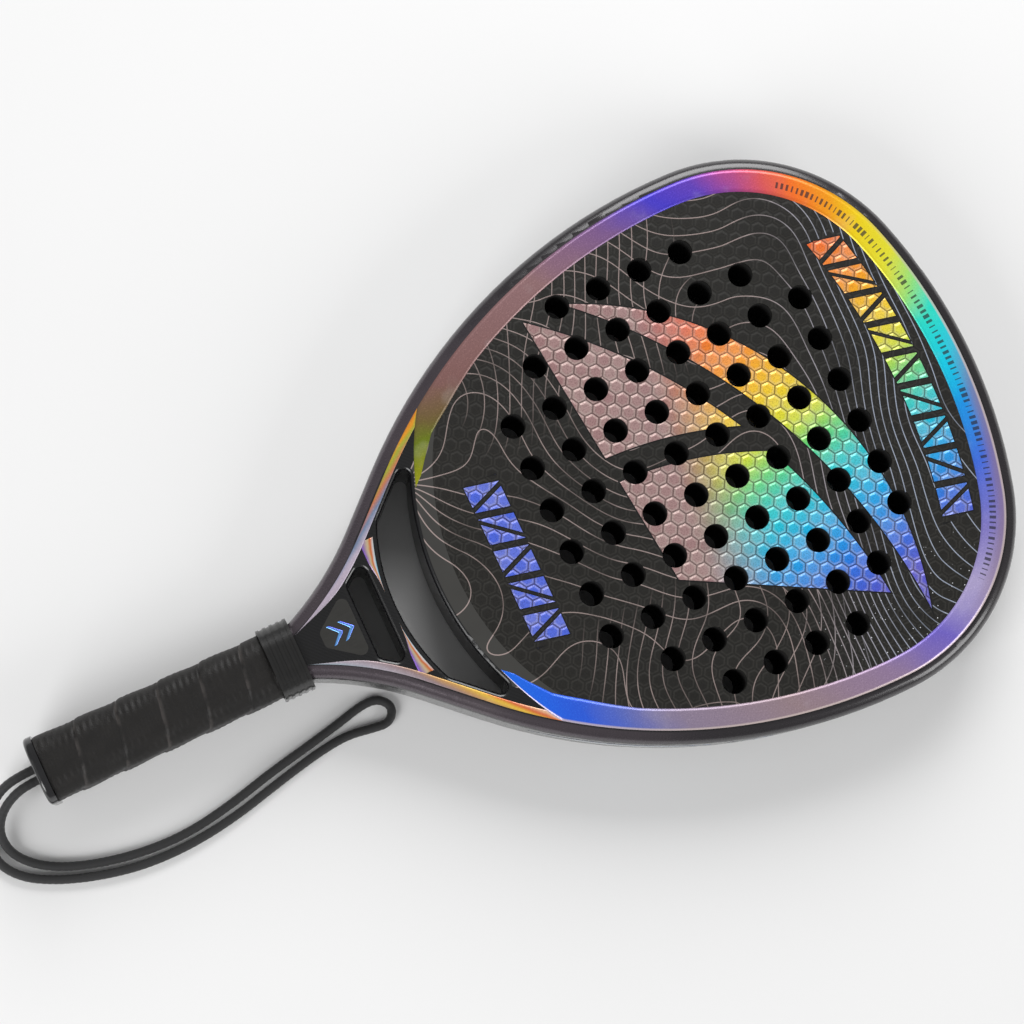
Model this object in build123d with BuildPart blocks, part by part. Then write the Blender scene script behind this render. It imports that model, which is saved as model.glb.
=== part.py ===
from build123d import *
import math
import os

os.makedirs("parts", exist_ok=True)

# A padel racket lying on its back face. X runs along it from the butt (-X) to the tip (+X),
# Y across it and Z up, with the back face of the frame at Z = 0. All sizes are in millimetres.

# Overall sizes
racket_length = 455.0
frame_thickness = 38.0

# Silhouette of the head and the arms: a chain of tangent arcs from the tip round to the neck
nose_radius = 230.0
nose_turn = 16.7
corner_radius = 86.4
corner_turn = 72.2
flank_radius = 254.6
flank_turn = 44.1
throat_radius = 140.0
throat_turn = 20.3
neck_radius = 19.0
neck_half_width = 11.0

# Frame section
edge_round = 6.0
opening_round = 2.0
rim_width = 15.5
arm_width = 11.0
rim_wall = 2.5
hollow_end = 315.0
rim_hollow_end = 235.0
taper_start = 275.0
neck_depth = 30.4

# Throat pieces, placed by their distance from the tip
bow_radius = 130.0
bow_front = 255.0
bow_back = 265.0
bar_radius = 93.0
bar_front = 284.5
bar_back = 290.0
web_front = 300.5
web_back = 322.0
opening_corner = 3.0
foil_end_radius = 140.0
foil_end = 262.0

# Faces, core and holes
face_sheet = 1.2
foil_thickness = 0.3
hole_pitch = 20.4
hole_diameter = 11.2
lattice_to_tip = 133.0
lattice_columns = 8
lattice_rows = 10
lattice_corner = 6.0

# Badge on the throat web
badge_length = 16.8
badge_width = 32.5
badge_tail_width = 7.0
badge_thickness = 0.8
badge_corner = 3.0
badge_to_opening = 2.5

# Handle
pallet_width = 22.0
pallet_depth = 26.0
pallet_corner = 6.0
pallet_wall = 2.5
base_grip_thickness = 2.6
overgrip_thickness = 1.2
collar_length = 14.0
collar_reach = 9.0
collar_clearance = 0.3
collar_wall = 0.9
collar_ridge = 0.4
collar_ridge_width = 1.4
collar_ridges = 5
cap_thickness = 4.0
cap_flare = 0.8
cap_round = 1.8
spigot_length = 14.0
spigot_wall = 2.0
fit_clearance = 0.1

# Wrist cord: a doubled loop of round cord that lies on the surface beside the racket
cord_diameter = 4.2
cord_hole_diameter = 10.0
knot_diameter = 11.6
knot_length = 8.0
strand_offset = 2.5

# Values worked out from those above
tip_x = racket_length / 2
butt_x = -racket_length / 2
middle_z = frame_thickness / 2
neck_turn = nose_turn + corner_turn + flank_turn - 90 - throat_turn
lattice_x = tip_x - lattice_to_tip
bow_depth = bow_back - bow_front


def rise(radius, start, end):
    """Sideways run of an arc that turns from one heading to another, in degrees."""
    return radius * (math.cos(math.radians(start)) - math.cos(math.radians(end)))


heading_1 = 90 + nose_turn
heading_2 = heading_1 + corner_turn
heading_3 = heading_2 + flank_turn
heading_4 = heading_3 - throat_turn
spare_width = (
    rise(nose_radius, 90, heading_1)
    + rise(corner_radius, heading_1, heading_2)
    + rise(flank_radius, heading_2, heading_3)
    - rise(throat_radius, heading_3, heading_4)
    - rise(neck_radius, heading_4, 180)
    - neck_half_width
)
arm_length = spare_width / math.sin(math.radians(heading_3 - 180))


def outline(inset):
    """Closed outline of the head, arms and neck, a given distance inside the silhouette."""
    with BuildSketch() as upper:
        with BuildLine():
            nose = JernArc((tip_x - inset, 0), (0, 1), nose_radius - inset, nose_turn)
            corner = JernArc(nose @ 1, nose % 1, corner_radius - inset, corner_turn)
            flank = JernArc(corner @ 1, corner % 1, flank_radius - inset, flank_turn)
            arm = Line(flank @ 1, flank @ 1 + arm_length * (flank % 1))
            throat = JernArc(arm @ 1, arm % 1, throat_radius + inset, -throat_turn)
            neck = JernArc(throat @ 1, throat % 1, neck_radius + inset, -neck_turn)
            Polyline(
                neck @ 1,
                ((neck @ 1).X, -racket_length),
                (tip_x - inset, -racket_length),
                nose @ 0,
            )
        make_face()
    with BuildSketch() as both:
        add(upper.sketch)
        add(mirror(upper.sketch, about=Plane.XZ, mode=Mode.PRIVATE), mode=Mode.INTERSECT)
    return both.sketch


def ahead_of_arc(radius, from_tip):
    """Everything on the tip side of an arc that bulges towards the butt."""
    vertex = tip_x - from_tip
    with BuildSketch() as sketch:
        with Locations((vertex + radius, 0)):
            Circle(radius)
        with Locations((vertex + radius + racket_length / 2, 0)):
            Rectangle(racket_length, 2 * radius)
    return sketch.sketch


def band(back, front):
    """Everything between two distances from the tip."""
    with BuildSketch() as sketch:
        with Locations((tip_x - (back + front) / 2, 0)):
            Rectangle(back - front, racket_length)
    return sketch.sketch


def rounded(shape, radius):
    """The shape grown by a radius, so that its corners come out rounded."""
    with BuildSketch() as sketch:
        add(shape)
        offset(amount=radius, kind=Kind.ARC)
    return sketch.sketch


neck_x = min(vertex.X for vertex in outline(0).vertices())
taper_x = tip_x - taper_start
taper_run = taper_x - neck_x
taper_drop = (frame_thickness - neck_depth) / 2
taper_radius = (taper_run**2 + taper_drop**2) / (2 * taper_drop)
taper_turn = math.degrees(math.asin(taper_run / taper_radius))

# The moulding: the whole frame before it is divided, with every outer edge rounded
crescent_core = (
    outline(arm_width + opening_corner)
    & ahead_of_arc(bar_radius - opening_corner, bar_front - opening_corner)
) - ahead_of_arc(bow_radius + opening_corner, bow_back + opening_corner)
slot_core = outline(arm_width + opening_corner) & band(
    web_front - opening_corner, bar_back + opening_corner
)
crescent = rounded(crescent_core, opening_corner)
slot = rounded(slot_core, opening_corner)


mouths = [face.outer_wire() for face in (*crescent.faces(), *slot.faces())]


def is_on_a_face(edge):
    """Whether an edge bounds the front or the back, and isn't the line where the taper starts."""
    middle = edge @ 0.5
    return abs(middle.Z - middle_z) > middle_z / 2 and abs(middle.X - taper_x) > fit_clearance


def is_at_a_mouth(point):
    """Whether a point is above or below the edge of one of the two throat openings."""
    level = Vector(point.X, point.Y, 0)
    return min(mouth.distance_to(level) for mouth in mouths) < fit_clearance


with BuildPart() as moulding:
    with BuildSketch():
        add(outline(0))
    extrude(amount=frame_thickness)
    with BuildSketch(Plane.XZ):
        with BuildLine():
            top = Line((tip_x, frame_thickness), (taper_x, frame_thickness))
            top_slope = JernArc(top @ 1, (-1, 0), taper_radius, taper_turn)
            bottom = Line((tip_x, 0), (taper_x, 0))
            bottom_slope = JernArc(bottom @ 1, (-1, 0), taper_radius, -taper_turn)
            Line(top_slope @ 1, bottom_slope @ 1)
            Line(top @ 0, bottom @ 0)
        make_face()
    extrude(amount=racket_length, both=True, mode=Mode.INTERSECT)
    rim_edges = moulding.edges().filter_by(
        lambda edge: is_on_a_face(edge) and abs((edge @ 0.5).X - neck_x) > fit_clearance
    )
    fillet(rim_edges, edge_round)
    with BuildSketch():
        add(crescent)
        add(slot)
    extrude(amount=frame_thickness, mode=Mode.SUBTRACT)
    mouth_edges = moulding.edges().filter_by(
        lambda edge: is_on_a_face(edge) and is_at_a_mouth(edge @ 0.5)
    )
    fillet(mouth_edges, opening_round)

# Plan shapes that divide the moulding
pocket = outline(rim_width) & ahead_of_arc(bow_radius - bow_depth, bow_front)
throat = outline(arm_width)
bow_plan = (outline(rim_width) & ahead_of_arc(bow_radius, bow_back)) - pocket
bar_plan = (throat & band(bar_back, bow_back)) - ahead_of_arc(bar_radius, bar_front)
web_plan = throat & band(web_back, web_front)
foil_plan = (outline(edge_round) - outline(rim_width)) & ahead_of_arc(
    foil_end_radius, foil_end
)
hollow_plan = (
    (outline(rim_wall) & band(hollow_end, 0))
    - (outline(arm_width - rim_wall) & band(hollow_end, rim_hollow_end))
    - (outline(rim_width - rim_wall) & band(rim_hollow_end, 0))
)

with BuildSketch() as badge_sketch:
    badge_x = tip_x - web_front - badge_to_opening
    with BuildLine():
        Polyline(
            (badge_x, badge_width / 2),
            (badge_x, -badge_width / 2),
            (badge_x - badge_length, -badge_tail_width / 2),
            (badge_x - badge_length, badge_tail_width / 2),
            close=True,
        )
    make_face()
    fillet(badge_sketch.vertices(), badge_corner)
badge_plan = badge_sketch.sketch


# Thin pieces let into the two sides, flush with the moulding
with BuildPart() as rim_foil_front:
    with BuildSketch(Plane.XY.offset(middle_z)):
        add(foil_plan)
    extrude(amount=middle_z)
    add(moulding.part, mode=Mode.INTERSECT)
    add(Pos(0, 0, -foil_thickness) * moulding.part, mode=Mode.SUBTRACT)
rim_foil_front.part.label = "rim_foil_front"
export_step(rim_foil_front.part, "parts/rim_foil_front.step")

with BuildPart() as rim_foil_back:
    with BuildSketch():
        add(foil_plan)
    extrude(amount=middle_z)
    add(moulding.part, mode=Mode.INTERSECT)
    add(Pos(0, 0, foil_thickness) * moulding.part, mode=Mode.SUBTRACT)
rim_foil_back.part.label = "rim_foil_back"
export_step(rim_foil_back.part, "parts/rim_foil_back.step")

with BuildPart() as badge_front:
    with BuildSketch(Plane.XY.offset(middle_z)):
        add(badge_plan)
    extrude(amount=middle_z)
    add(moulding.part, mode=Mode.INTERSECT)
    add(Pos(0, 0, -badge_thickness) * moulding.part, mode=Mode.SUBTRACT)
badge_front.part.label = "badge_front"
export_step(badge_front.part, "parts/badge_front.step")

with BuildPart() as badge_back:
    with BuildSketch():
        add(badge_plan)
    extrude(amount=middle_z)
    add(moulding.part, mode=Mode.INTERSECT)
    add(Pos(0, 0, badge_thickness) * moulding.part, mode=Mode.SUBTRACT)
badge_back.part.label = "badge_back"
export_step(badge_back.part, "parts/badge_back.step")

# Foam inside the head tube and the arms
with BuildPart() as rim_foam:
    with BuildSketch(Plane.XY.offset(edge_round)):
        add(hollow_plan)
    extrude(amount=frame_thickness - 2 * edge_round)
rim_foam.part.label = "rim_foam"
export_step(rim_foam.part, "parts/rim_foam.step")

# The moulded throat pieces
with BuildPart() as throat_bow:
    with BuildSketch():
        add(bow_plan)
    extrude(amount=frame_thickness)
    add(moulding.part, mode=Mode.INTERSECT)
throat_bow.part.label = "throat_bow"
export_step(throat_bow.part, "parts/throat_bow.step")

with BuildPart() as control_bar:
    with BuildSketch():
        add(bar_plan)
    extrude(amount=frame_thickness)
    add(moulding.part, mode=Mode.INTERSECT)
control_bar.part.label = "control_bar"
export_step(control_bar.part, "parts/control_bar.step")

with BuildPart() as throat_web:
    with BuildSketch():
        add(web_plan)
    extrude(amount=frame_thickness)
    add(moulding.part, mode=Mode.INTERSECT)
    add(badge_front.part, mode=Mode.SUBTRACT)
    add(badge_back.part, mode=Mode.SUBTRACT)
throat_web.part.label = "throat_web"
export_step(throat_web.part, "parts/throat_web.step")

# The tube of the head and the arms
with BuildPart() as frame_tube:
    add(moulding.part)
    with BuildSketch():
        add(pocket)
        add(bow_plan)
        add(bar_plan)
        add(web_plan)
    extrude(amount=frame_thickness, mode=Mode.SUBTRACT)
    add(rim_foam.part, mode=Mode.SUBTRACT)
    add(rim_foil_front.part, mode=Mode.SUBTRACT)
    add(rim_foil_back.part, mode=Mode.SUBTRACT)
    add(badge_front.part, mode=Mode.SUBTRACT)
    add(badge_back.part, mode=Mode.SUBTRACT)
frame_tube.part.label = "frame_tube"
export_step(frame_tube.part, "parts/frame_tube.step")

# Hole centres: a square lattice with its four corners cut off
hole_centres = [
    (lattice_x + column * hole_pitch, row * hole_pitch)
    for column in [i - (lattice_columns - 1) / 2 for i in range(lattice_columns)]
    for row in [j - (lattice_rows - 1) / 2 for j in range(lattice_rows)]
    if abs(column) + abs(row) <= lattice_corner
]

with BuildPart() as core_slab:
    with BuildSketch(Plane.XY.offset(face_sheet)):
        add(pocket)
        with Locations(*hole_centres):
            Circle(hole_diameter / 2, mode=Mode.SUBTRACT)
    extrude(amount=frame_thickness - 2 * face_sheet)
core_slab.part.label = "core_slab"
export_step(core_slab.part, "parts/core_slab.step")

with BuildPart() as front_face:
    with BuildSketch(Plane.XY.offset(frame_thickness - face_sheet)):
        add(pocket)
        with Locations(*hole_centres):
            Circle(hole_diameter / 2, mode=Mode.SUBTRACT)
    extrude(amount=face_sheet)
front_face.part.label = "front_face"
export_step(front_face.part, "parts/front_face.step")

with BuildPart() as back_face:
    with BuildSketch():
        add(pocket)
        with Locations(*hole_centres):
            Circle(hole_diameter / 2, mode=Mode.SUBTRACT)
    extrude(amount=face_sheet)
back_face.part.label = "back_face"
export_step(back_face.part, "parts/back_face.step")

# Handle, from the neck back to the butt
cap_x = butt_x + cap_thickness
spigot_x = cap_x + spigot_length
spigot_gap = pallet_wall + fit_clearance
grip_length = neck_x - cap_x
grip_grown = base_grip_thickness + overgrip_thickness
neck_flare = neck_half_width + neck_radius - math.sqrt(neck_radius**2 - collar_reach**2)
neck_rise = middle_z - taper_radius + math.sqrt(
    taper_radius**2 - (taper_run - collar_reach) ** 2
)
neck_corner = math.hypot(
    neck_flare - edge_round - pallet_width / 2 + pallet_corner,
    neck_rise - edge_round - pallet_depth / 2 + pallet_corner,
)
collar_bore = collar_clearance + max(grip_grown, neck_corner + edge_round - pallet_corner)
collar_x = neck_x + collar_reach - collar_length
ridge_pitch = (collar_length - collar_ridge_width) / (collar_ridges - 1)
ridge_places = [collar_x + ridge * ridge_pitch for ridge in range(collar_ridges)]


def handle_section(grown, mode=Mode.ADD):
    """The handle's rounded rectangle, grown all round, for the sketch being drawn."""
    RectangleRounded(
        pallet_width + 2 * grown,
        pallet_depth + 2 * grown,
        pallet_corner + grown,
        mode=mode,
    )


with BuildPart() as handle_pallet:
    with BuildSketch(Plane.YZ.offset(cap_x)):
        with Locations((0, middle_z)):
            handle_section(0)
            handle_section(-pallet_wall, Mode.SUBTRACT)
    extrude(amount=grip_length)
handle_pallet.part.label = "handle_pallet"
export_step(handle_pallet.part, "parts/handle_pallet.step")

with BuildPart() as handle_foam:
    with BuildSketch(Plane.YZ.offset(spigot_x)):
        with Locations((0, middle_z)):
            handle_section(-pallet_wall)
    extrude(amount=grip_length - spigot_length)
handle_foam.part.label = "handle_foam"
export_step(handle_foam.part, "parts/handle_foam.step")

with BuildPart() as base_grip:
    with BuildSketch(Plane.YZ.offset(cap_x)):
        with Locations((0, middle_z)):
            handle_section(base_grip_thickness)
            handle_section(0, Mode.SUBTRACT)
    extrude(amount=grip_length)
base_grip.part.label = "base_grip"
export_step(base_grip.part, "parts/base_grip.step")

with BuildPart() as overgrip:
    with BuildSketch(Plane.YZ.offset(cap_x)):
        with Locations((0, middle_z)):
            handle_section(grip_grown)
            handle_section(base_grip_thickness, Mode.SUBTRACT)
    extrude(amount=grip_length)
overgrip.part.label = "overgrip"
export_step(overgrip.part, "parts/overgrip.step")

# Rubber collar over the front end of the grip, with ridges round it
with BuildPart() as grip_collar:
    with BuildSketch(Plane.YZ.offset(collar_x)):
        with Locations((0, middle_z)):
            handle_section(collar_bore + collar_wall)
            handle_section(collar_bore, Mode.SUBTRACT)
    extrude(amount=collar_length)
    with BuildSketch(*[Plane.YZ.offset(x) for x in ridge_places]):
        with Locations((0, middle_z)):
            handle_section(collar_bore + collar_wall + collar_ridge)
            handle_section(collar_bore, Mode.SUBTRACT)
    extrude(amount=collar_ridge_width)
grip_collar.part.label = "grip_collar"
export_step(grip_collar.part, "parts/grip_collar.step")

# Butt cap: a flange over the end of the grip and a spigot inside the pallet
with BuildPart() as butt_cap:
    with BuildSketch(Plane.YZ.offset(butt_x)):
        with Locations((0, middle_z)):
            handle_section(grip_grown + cap_flare)
    extrude(amount=cap_thickness)
    fillet(butt_cap.faces().sort_by(Axis.X)[0].edges(), cap_round)
    with BuildSketch(Plane.YZ.offset(cap_x)):
        with Locations((0, middle_z)):
            handle_section(-spigot_gap)
            handle_section(-spigot_gap - spigot_wall, Mode.SUBTRACT)
    extrude(amount=spigot_length)
    with BuildSketch(Plane.YZ.offset(butt_x)):
        with Locations((0, middle_z)):
            Circle(cord_hole_diameter / 2)
    extrude(amount=cap_thickness, mode=Mode.SUBTRACT)
butt_cap.part.label = "butt_cap"
export_step(butt_cap.part, "parts/butt_cap.step")

# Knot that stops the two ends of the cord behind the cap
with BuildPart() as cord_knot:
    with BuildSketch(Plane.YZ.offset(cap_x)):
        with Locations((0, middle_z)):
            Circle(knot_diameter / 2)
    extrude(amount=knot_length)
    fillet(cord_knot.faces().sort_by(Axis.X)[-1].edges(), knot_length / 3)
cord_knot.part.label = "cord_knot"
export_step(cord_knot.part, "parts/cord_knot.step")

# Wrist cord: out of the cap, down to the surface, round and along beside the racket, back again.
# Each point is its distance ahead of the butt, its distance to the left and its height.
lying_z = cord_diameter / 2
cord_route = [
    (cap_thickness, strand_offset, middle_z),
    (-7.5, strand_offset, middle_z),
    (-18.0, 0.5, 15.5),
    (-26.5, -5.5, 8.5),
    (-32.5, -15.0, 3.0),
    (-33.0, -26.5, lying_z),
    (-26.5, -36.5, lying_z),
    (-14.5, -44.0, lying_z),
    (3.0, -50.5, lying_z),
    (24.0, -55.0, lying_z),
    (46.5, -55.5, lying_z),
    (69.5, -52.5, lying_z),
    (92.0, -47.0, lying_z),
    (112.5, -42.5, lying_z),
    (128.5, -40.5, lying_z),
    (140.5, -42.5, lying_z),
    (148.5, -43.5, lying_z),
    (153.0, -37.5, lying_z),
    (148.5, -31.5, lying_z),
    (140.5, -31.0, lying_z),
    (128.5, -34.0, lying_z),
    (112.0, -37.5, lying_z),
    (91.0, -41.5, lying_z),
    (69.0, -47.0, lying_z),
    (46.5, -50.5, lying_z),
    (25.0, -49.5, lying_z),
    (5.5, -45.5, lying_z),
    (-9.5, -40.0, lying_z),
    (-19.5, -33.5, lying_z),
    (-26.0, -25.0, 3.0),
    (-26.5, -15.5, 6.5),
    (-21.0, -8.0, 12.0),
    (-12.0, -3.5, 17.0),
    (-3.0, -strand_offset, middle_z),
    (cap_thickness, -strand_offset, middle_z),
]
points = [Vector(butt_x + along, aside, up) for along, aside, up in cord_route]
runs = [b - a for a, b in zip(points, points[1:])]
turns = [a.get_angle(b) for a, b in zip(runs, runs[1:])]
cord_radii = [
    0.45 * min(a.length, b.length) / math.tan(math.radians(turn / 2))
    for a, b, turn in zip(runs, runs[1:], turns)
]
print("cord radii", [round(radius, 1) for radius in cord_radii])

with BuildPart() as wrist_cord:
    with BuildLine() as cord_line:
        FilletPolyline(*points, radius=cord_radii)
    with BuildSketch(Plane.YZ.offset(cap_x)):
        with Locations((strand_offset, middle_z)):
            Circle(cord_diameter / 2)
    sweep()
wrist_cord.part.label = "wrist_cord"
export_step(wrist_cord.part, "parts/wrist_cord.step")
cord_length = sum(edge.length for edge in cord_line.edges())
print("cord length", cord_length)
print("cord volume", wrist_cord.part.volume, cord_length * math.pi * cord_diameter**2 / 4)
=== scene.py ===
import math

import bmesh
import bpy
import numpy as np
from mathutils import Matrix, Vector


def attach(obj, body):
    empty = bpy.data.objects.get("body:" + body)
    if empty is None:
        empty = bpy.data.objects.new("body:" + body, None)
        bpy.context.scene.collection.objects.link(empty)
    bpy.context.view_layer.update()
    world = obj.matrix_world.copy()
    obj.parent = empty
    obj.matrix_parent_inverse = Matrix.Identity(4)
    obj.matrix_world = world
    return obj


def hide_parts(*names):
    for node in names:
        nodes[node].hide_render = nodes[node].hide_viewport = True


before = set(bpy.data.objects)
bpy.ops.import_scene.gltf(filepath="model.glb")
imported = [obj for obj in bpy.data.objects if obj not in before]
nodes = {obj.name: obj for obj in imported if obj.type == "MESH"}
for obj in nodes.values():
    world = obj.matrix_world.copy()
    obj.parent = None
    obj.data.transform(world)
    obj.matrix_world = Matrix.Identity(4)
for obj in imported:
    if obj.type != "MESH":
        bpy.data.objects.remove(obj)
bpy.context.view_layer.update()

scene = bpy.context.scene
mm = 0.001


# camera and stage

cameraSet = {
    "place": (-146.1, -85.9, 1165.0),
    "right": (0.9023, -0.4229, 0.0837),
    "up": (0.4099, 0.9017, 0.1375),
    "back": (-0.1336, -0.0898, 0.9870),
    "lens": 91.4,
}


def makeCamera(look):
    data = bpy.data.cameras.new("cameraMain")
    data.lens = look["lens"]
    data.sensor_width = 36
    data.clip_start, data.clip_end = 0.02, 20
    camera = bpy.data.objects.new("cameraMain", data)
    turn = Matrix((look["right"], look["up"], look["back"])).transposed().to_4x4()
    camera.matrix_world = Matrix.Translation(Vector(look["place"]) * mm) @ turn
    scene.collection.objects.link(camera)
    scene.camera = camera
    return camera


makeCamera(cameraSet)
print("camera placed")


# meshes worked out as whole arrays

def gridFaces(rows, columns, closedRows, closedColumns):
    # corner indices of a rows x columns grid's quads, wrapping round where it is closed
    i = np.arange(rows if closedRows else rows - 1)
    j = np.arange(columns if closedColumns else columns - 1)
    i, j = np.meshgrid(i, j, indexing="ij")
    ni, nj = (i + 1) % rows, (j + 1) % columns
    quads = np.stack([i * columns + j, ni * columns + j, ni * columns + nj, i * columns + nj], -1)
    return quads.reshape(-1, 4)


def makeMesh(name, points, polygons, material, uv):
    # points is (n, 3) in millimetres, uv is (n, 2), polygons lists corner numbers
    mesh = bpy.data.meshes.new(name)
    mesh.from_pydata((points * mm).tolist(), [], polygons)
    corners = np.zeros(len(mesh.loops), np.int32)
    mesh.loops.foreach_get("vertex_index", corners)
    mesh.uv_layers.new(name="UVMap").data.foreach_set("uv", uv[corners].astype(np.float32).ravel())
    mesh.polygons.foreach_set("use_smooth", np.ones(len(mesh.polygons), bool))
    mesh.materials.append(material)
    mesh.update()
    piece = bpy.data.objects.new(name, mesh)
    scene.collection.objects.link(piece)
    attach(piece, "root")
    return piece


def gridMesh(name, grid, material, uv, closedRows=False):
    # grid is (rows, columns, 3) and closes round its columns
    faces = gridFaces(*grid.shape[:2], closedRows, True)
    return makeMesh(name, grid.reshape(-1, 3), faces.tolist(), material, uv.reshape(-1, 2))


def together(*values):
    # spreads the values over one grid and stacks them on a last axis
    return np.stack(np.broadcast_arrays(*values), -1)


def smoothStep(low, high, value):
    t = np.clip((value - low) / (high - low), 0, 1)
    return t * t * (3 - 2 * t)


# the silhouette, and the height of the frame's top along the racket

outlineSet = {
    "tip": 227.5,
    "turns": (16.7, 72.2, 44.1, 0.0, -20.3, -22.7),       # degrees turned by each stretch
    "radii": (230.0, 86.4, 254.6, 0.0, 140.0, 19.0),
    "straight": 29.4,
    "thick": 38.0,
    "taperFrom": -47.5,
    "taperRadius": 551.0,
}


def outlineTable(shape):
    # start point, heading, curvature and length of each tangent stretch, from the tip to the neck
    turns, radii = np.radians(shape["turns"]), np.array(shape["radii"])
    lengths = np.where(radii > 0, radii * np.abs(turns), shape["straight"])
    curves = np.where(radii > 0, np.sign(turns) / np.maximum(radii, 1e-6), 1e-9)
    headings = math.pi / 2 + np.concatenate([[0], np.cumsum(curves * lengths)])
    dx = (np.sin(headings[1:]) - np.sin(headings[:-1])) / curves
    dy = (np.cos(headings[:-1]) - np.cos(headings[1:])) / curves
    x = shape["tip"] + np.concatenate([[0], np.cumsum(dx)])
    y = np.concatenate([[0], np.cumsum(dy)])
    return {"x": x, "y": y, "heading": headings, "curve": curves,
            "start": np.concatenate([[0], np.cumsum(lengths)])}


table = outlineTable(outlineSet)
halfRound = table["start"][-1]


def outlineAt(along, inset):
    # the point at a signed length round from the tip: an arc's own circle, moved in along its normal
    far = np.minimum(np.abs(along), halfRound - 1e-6)
    k = np.clip(np.searchsorted(table["start"], far, side="right") - 1, 0, len(table["curve"]) - 1)
    curve, start = table["curve"][k], table["heading"][k]
    heading = start + curve * (far - table["start"][k])
    x = table["x"][k] + (np.sin(heading) - np.sin(start)) / curve - np.sin(heading) * inset
    y = table["y"][k] + (np.cos(start) - np.cos(heading)) / curve + np.cos(heading) * inset
    return x, y * np.where(along < 0, -1.0, 1.0)


def topHeight(x):
    # level over the head, then falling on a large circle towards the neck
    run = np.maximum(outlineSet["taperFrom"] - x, 0)
    radius = outlineSet["taperRadius"]
    return outlineSet["thick"] - (radius - np.sqrt(radius ** 2 - run ** 2))


# shader helpers

def put(tree, socket, value):
    # links another node's output, or sets a constant
    if isinstance(value, bpy.types.NodeSocket):
        tree.links.new(value, socket)
    else:
        socket.default_value = value


def feed(shader, label, value):
    put(shader.id_data, shader.inputs[label], value)


def addNode(tree, kind, **inputs):
    node = tree.nodes.new(kind)
    for key, value in inputs.items():
        if key.startswith("in"):
            put(tree, node.inputs[int(key[2:])], value)
        else:
            setattr(node, key, value)
    return node


def calc(tree, operation, *values, clamp=False):
    node = addNode(tree, "ShaderNodeMath", operation=operation, use_clamp=clamp)
    for socket, value in zip(node.inputs, values):
        put(tree, socket, value)
    return node.outputs[0]


def times(tree, *values):
    product = values[0]
    for value in values[1:]:
        product = calc(tree, "MULTIPLY", product, value)
    return product


def invert(tree, value):
    return calc(tree, "SUBTRACT", 1.0, value)


def vectorCalc(tree, operation, *values):
    node = addNode(tree, "ShaderNodeVectorMath", operation=operation)
    for k, value in enumerate(values):
        put(tree, node.inputs["Scale" if operation == "SCALE" and k == 1 else k], value)
    return node.outputs["Value"] if operation in ("DOT_PRODUCT", "LENGTH", "DISTANCE") else node.outputs[0]


def axesOf(tree, vector):
    return addNode(tree, "ShaderNodeSeparateXYZ", in0=vector).outputs


def noise(tree, place, scale, detail, dimensions="3D"):
    node = addNode(tree, "ShaderNodeTexNoise", noise_dimensions=dimensions, in0=place)
    feed(node, "Scale", scale)
    feed(node, "Detail", detail)
    return node.outputs[0]


def ease(tree, value, low, high):
    # 0 below low, 1 above high, smooth between
    node = tree.nodes.new("ShaderNodeMapRange")
    node.interpolation_type = "SMOOTHSTEP"
    for socket, given in zip(node.inputs, (value, low, high)):
        put(tree, socket, given)
    return node.outputs[0]


def mixColor(tree, factor, first, second, blend="MIX"):
    node = addNode(tree, "ShaderNodeMix", data_type="RGBA", blend_type=blend, in0=factor)
    for k, value in ((6, first), (7, second)):
        put(tree, node.inputs[k], value if isinstance(value, bpy.types.NodeSocket) else (*value, 1))
    return node.outputs[2]


def linear(red, green, blue):
    # display values out of 255 to the linear values that sockets take
    return tuple(((c / 255 + 0.055) / 1.055) ** 2.4 if c > 10 else c / 255 / 12.92 for c in (red, green, blue))


def ramp(tree, value, stops):
    # stops are (place, (r, g, b) out of 255)
    node = tree.nodes.new("ShaderNodeValToRGB")
    tree.links.new(value, node.inputs[0])
    points = node.color_ramp.elements
    points[0].position, points[0].color = stops[0][0], (*linear(*stops[0][1]), 1)
    points[1].position, points[1].color = stops[-1][0], (*linear(*stops[-1][1]), 1)
    for place, color in stops[1:-1]:
        point = points.new(place)
        point.color = (*linear(*color), 1)
    return node.outputs[0]


def newGroup(name, inputs, outputs):
    group = bpy.data.node_groups.new(name, "ShaderNodeTree")
    for label, kind, value in inputs:
        socket = group.interface.new_socket(label, in_out="INPUT", socket_type="NodeSocket" + kind)
        if value is not None:
            socket.default_value = value
    for label, kind in outputs:
        group.interface.new_socket(label, in_out="OUTPUT", socket_type="NodeSocket" + kind)
    return group, group.nodes.new("NodeGroupInput"), group.nodes.new("NodeGroupOutput")


def giveOut(outside, **values):
    for label, value in values.items():
        feed(outside, label, value)


def useGroup(tree, group, **values):
    node = addNode(tree, "ShaderNodeGroup", node_tree=group)
    for label, value in values.items():
        feed(node, label, value)
    return node


def newMaterial(name, **constants):
    material = bpy.data.materials.new(name)
    material.use_nodes = True
    tree = material.node_tree
    shader = tree.nodes["Principled BSDF"]
    for label, value in constants.items():
        feed(shader, label, value)
    return material, tree, shader


def placeInMm(tree):
    # object coordinates in millimetres
    coords = tree.nodes.new("ShaderNodeTexCoord")
    return vectorCalc(tree, "SCALE", coords.outputs["Object"], 1000.0)


def uvPlace(tree):
    return addNode(tree, "ShaderNodeUVMap", uv_map="UVMap").outputs[0]


def addBump(tree, shader, height, distance, strength):
    bump = tree.nodes.new("ShaderNodeBump")
    feed(bump, "Strength", strength)
    feed(bump, "Distance", distance)
    feed(bump, "Height", height)
    feed(shader, "Normal", bump.outputs[0])


# shared effects

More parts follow.
